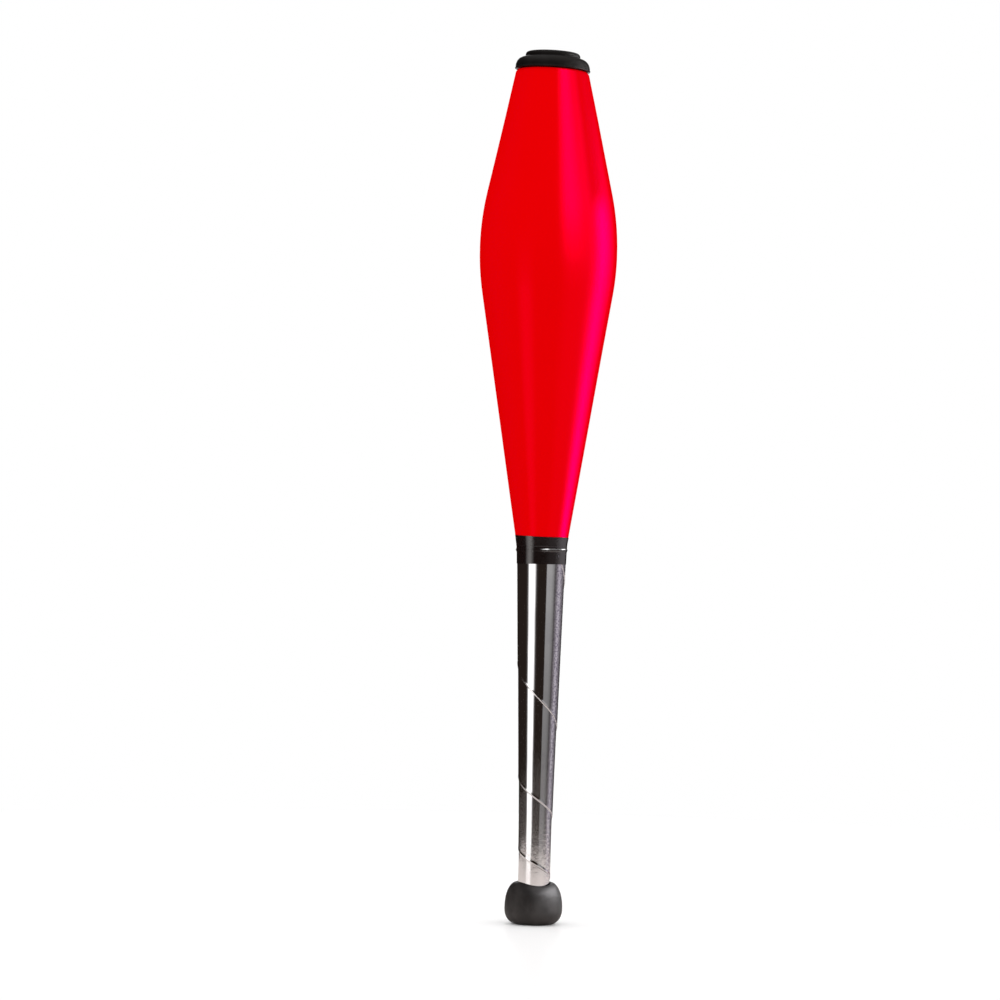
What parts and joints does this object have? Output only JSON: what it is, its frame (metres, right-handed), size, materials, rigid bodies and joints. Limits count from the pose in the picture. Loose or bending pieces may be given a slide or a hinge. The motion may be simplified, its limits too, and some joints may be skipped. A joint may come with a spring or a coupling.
{
  "type": "juggling club",
  "caption": "Juggling club: hollow blown body on a wooden dowel, tapered foil-wrapped handle, taped neck, and a screwed-on rubber knob and cap.",
  "frame": {"origin": "centre of the knob's flat end face, on which the club stands", "axes": "+Z along the club's axis, from the knob to the cap; the club is round, so +X and +Y are any two directions across it, with the neck tacks spaced evenly from +X towards +Y"},
  "size_m": [0.082, 0.082, 0.52],
  "materials": {
    "red_shell": "satin-gloss blown plastic, coloured through",
    "black_rubber": "matt moulded rubber with a soft sheen",
    "silver_foil": "mirror-bright silver decorative foil strip, slightly creased",
    "black_tape": "glossy black vinyl tape",
    "natural_plastic": "undyed moulded plastic, hidden inside",
    "beech": "unvarnished straight-grained dowel, hidden inside",
    "zinc_steel": "zinc-plated steel"
  },
  "bodies": {
    "root": {"body_shell": "red_shell", "handle_sleeve": "natural_plastic", "core_dowel": "beech", "neck_bush": "natural_plastic", "foil_wrap": "silver_foil", "neck_tape": "black_tape", "neck_tack_1": "zinc_steel", "neck_tack_2": "zinc_steel", "neck_tack_3": "zinc_steel", "knob": "black_rubber", "knob_washer": "zinc_steel", "knob_screw": "zinc_steel", "top_cap": "black_rubber", "cap_washer": "zinc_steel", "cap_screw": "zinc_steel"}
  },
  "joints": []
}
